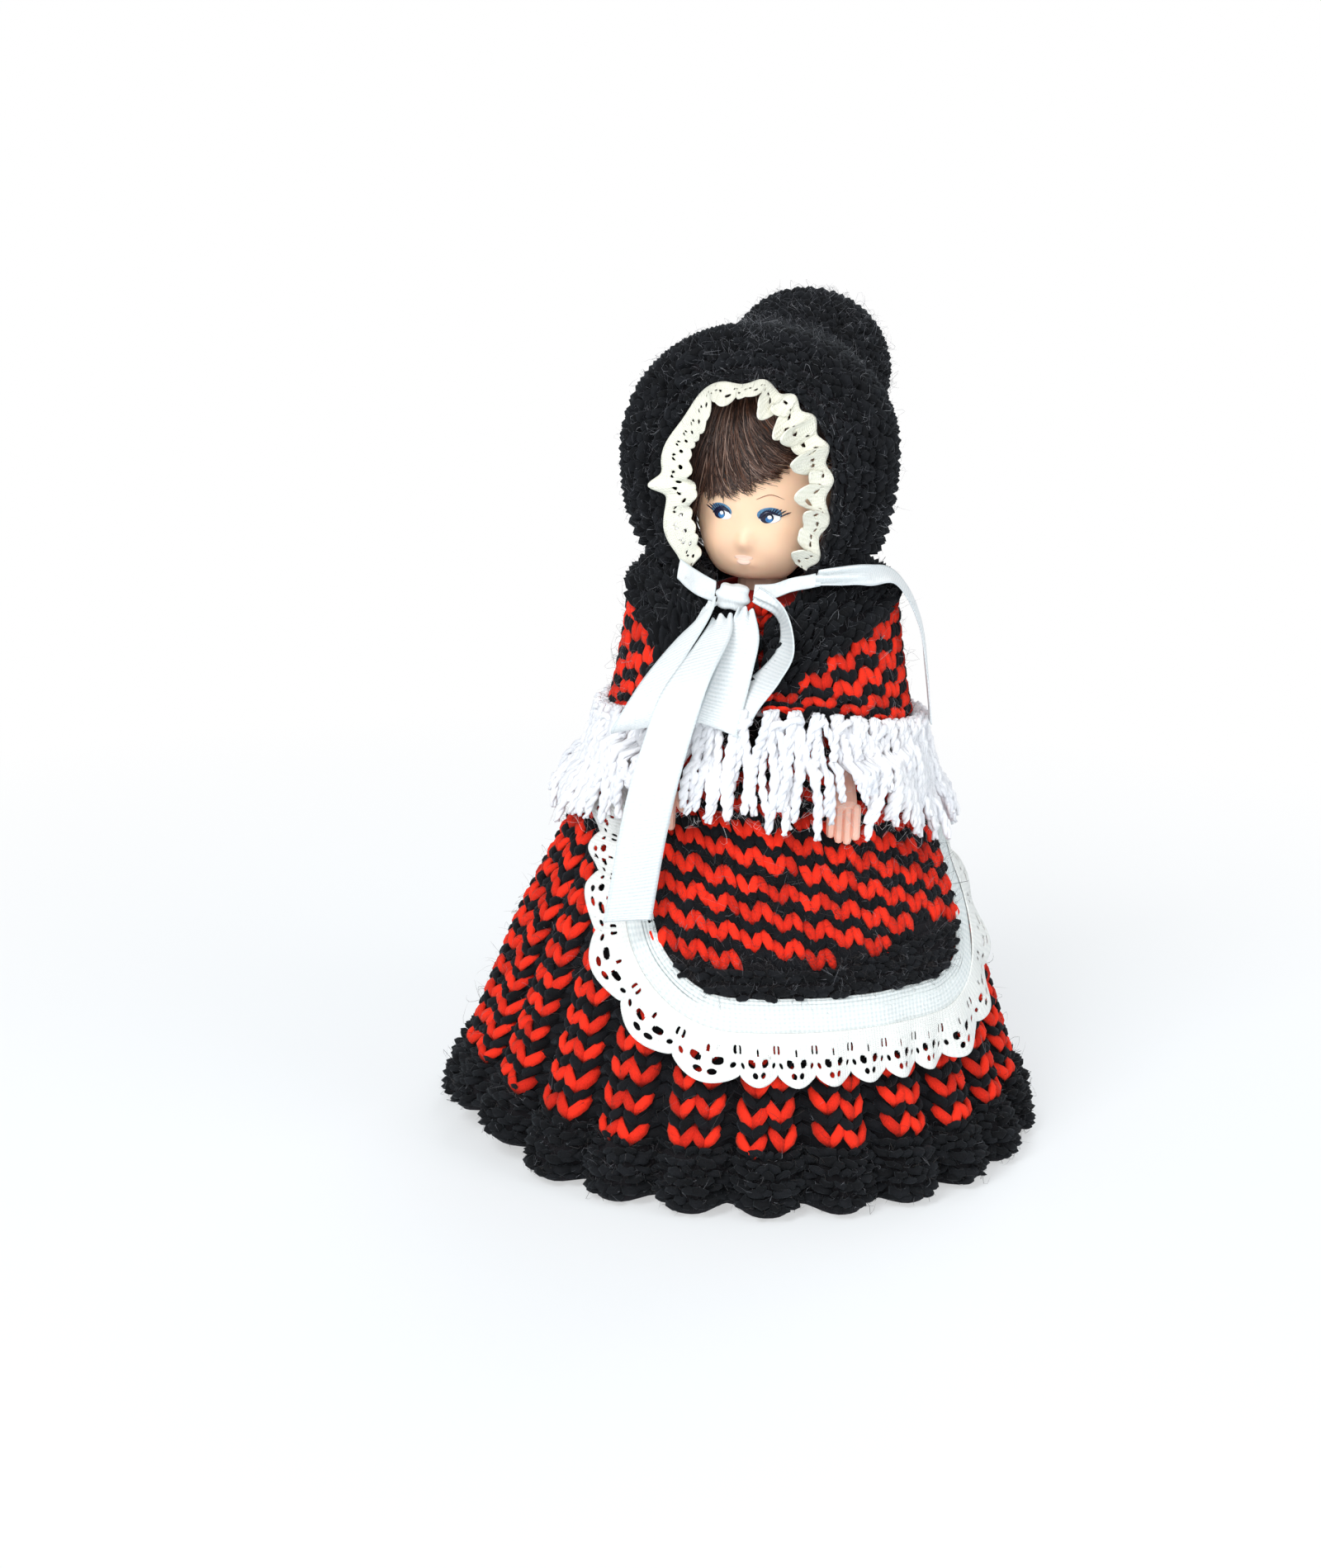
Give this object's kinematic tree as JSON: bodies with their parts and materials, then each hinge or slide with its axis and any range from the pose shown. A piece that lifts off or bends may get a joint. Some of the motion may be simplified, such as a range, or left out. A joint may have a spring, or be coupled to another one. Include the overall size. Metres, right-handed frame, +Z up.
{
  "type": "jointed costume doll",
  "caption": "Small jointed vinyl doll in knitted costume: deep hood with a round crown and lace, ribbon bow, fringed shawl, pleated skirt and lace-edged apron",
  "frame": {"origin": "centre of the hem's outline on the floor, under the neck's axis", "axes": "+Z up, -Y the way the body faces, +X the doll's own left"},
  "size_m": [0.1286, 0.1286, 0.1749],
  "materials": {
    "doll_vinyl": "soft satin vinyl with painted features",
    "body_plastic": "satin moulded plastic",
    "rooted_hair": "fine glossy synthetic strands",
    "black_knit": "fuzzy garter-stitch yarn",
    "red_knit": "plain knitted yarn",
    "zigzag_knit": "red and black zigzag rows of knitted yarn",
    "white_yarn": "soft plied yarn",
    "white_tape": "woven tape",
    "white_lace": "pierced gathered lace",
    "cream_lace": "fine gathered lace",
    "white_ribbon": "satin ribbon with fine ribs",
    "white_filling": "loose fibre filling"
  },
  "bodies": {
    "torso": {"torso_front": "body_plastic", "torso_back": "body_plastic", "dress_bodice": "red_knit", "skirt": "zigzag_knit", "skirt_hem_band": "black_knit", "apron_panel": "zigzag_knit", "apron_band": "black_knit", "apron_tape": "white_tape", "apron_lace": "white_lace", "apron_waist_cord": "white_tape", "shawl": "zigzag_knit", "shawl_fringe": "white_yarn"},
    "head": {"head": "doll_vinyl", "hair": "rooted_hair", "bonnet_brim": "black_knit", "bonnet_crown": "black_knit", "crown_stuffing": "white_filling", "bonnet_lace": "cream_lace", "chin_ribbon_left": "white_ribbon", "chin_ribbon_right": "white_ribbon", "bow_knot": "white_ribbon", "bow_loop_left": "white_ribbon", "bow_loop_right": "white_ribbon", "ribbon_tail_long": "white_ribbon", "ribbon_tail_shoulder": "white_ribbon"},
    "left_arm": {"left_arm": "doll_vinyl"},
    "right_arm": {"right_arm": "doll_vinyl"},
    "left_leg": {"left_leg": "doll_vinyl"},
    "right_leg": {"right_leg": "doll_vinyl"}
  },
  "joints": [
    {"name": "neck_turn", "type": "hinge", "parent": "torso", "child": "head", "pos_m": [0, 0, 0.1227], "axis": [0, 0, 1], "range_deg": [-45, 75], "deforming": ["chin_ribbon_left", "chin_ribbon_right", "bow_knot", "bow_loop_left", "bow_loop_right", "ribbon_tail_long", "ribbon_tail_shoulder"]},
    {"name": "left_shoulder", "type": "hinge", "parent": "torso", "child": "left_arm", "pos_m": [0.0148, 0, 0.106], "axis": [-1, 0, 0], "range_deg": [0, 50], "deforming": ["shawl", "shawl_fringe"]},
    {"name": "right_shoulder", "type": "hinge", "parent": "torso", "child": "right_arm", "pos_m": [-0.0148, 0, 0.106], "axis": [-1, 0, 0], "range_deg": [0, 50], "deforming": ["shawl", "shawl_fringe", "bow_loop_right", "ribbon_tail_long"]},
    {"name": "left_hip", "type": "hinge", "parent": "torso", "child": "left_leg", "pos_m": [0.0048, 0, 0.07], "axis": [-1, 0, 0], "range_deg": [-20, 20]},
    {"name": "right_hip", "type": "hinge", "parent": "torso", "child": "right_leg", "pos_m": [-0.0048, 0, 0.07], "axis": [-1, 0, 0], "range_deg": [-20, 20]}
  ]
}
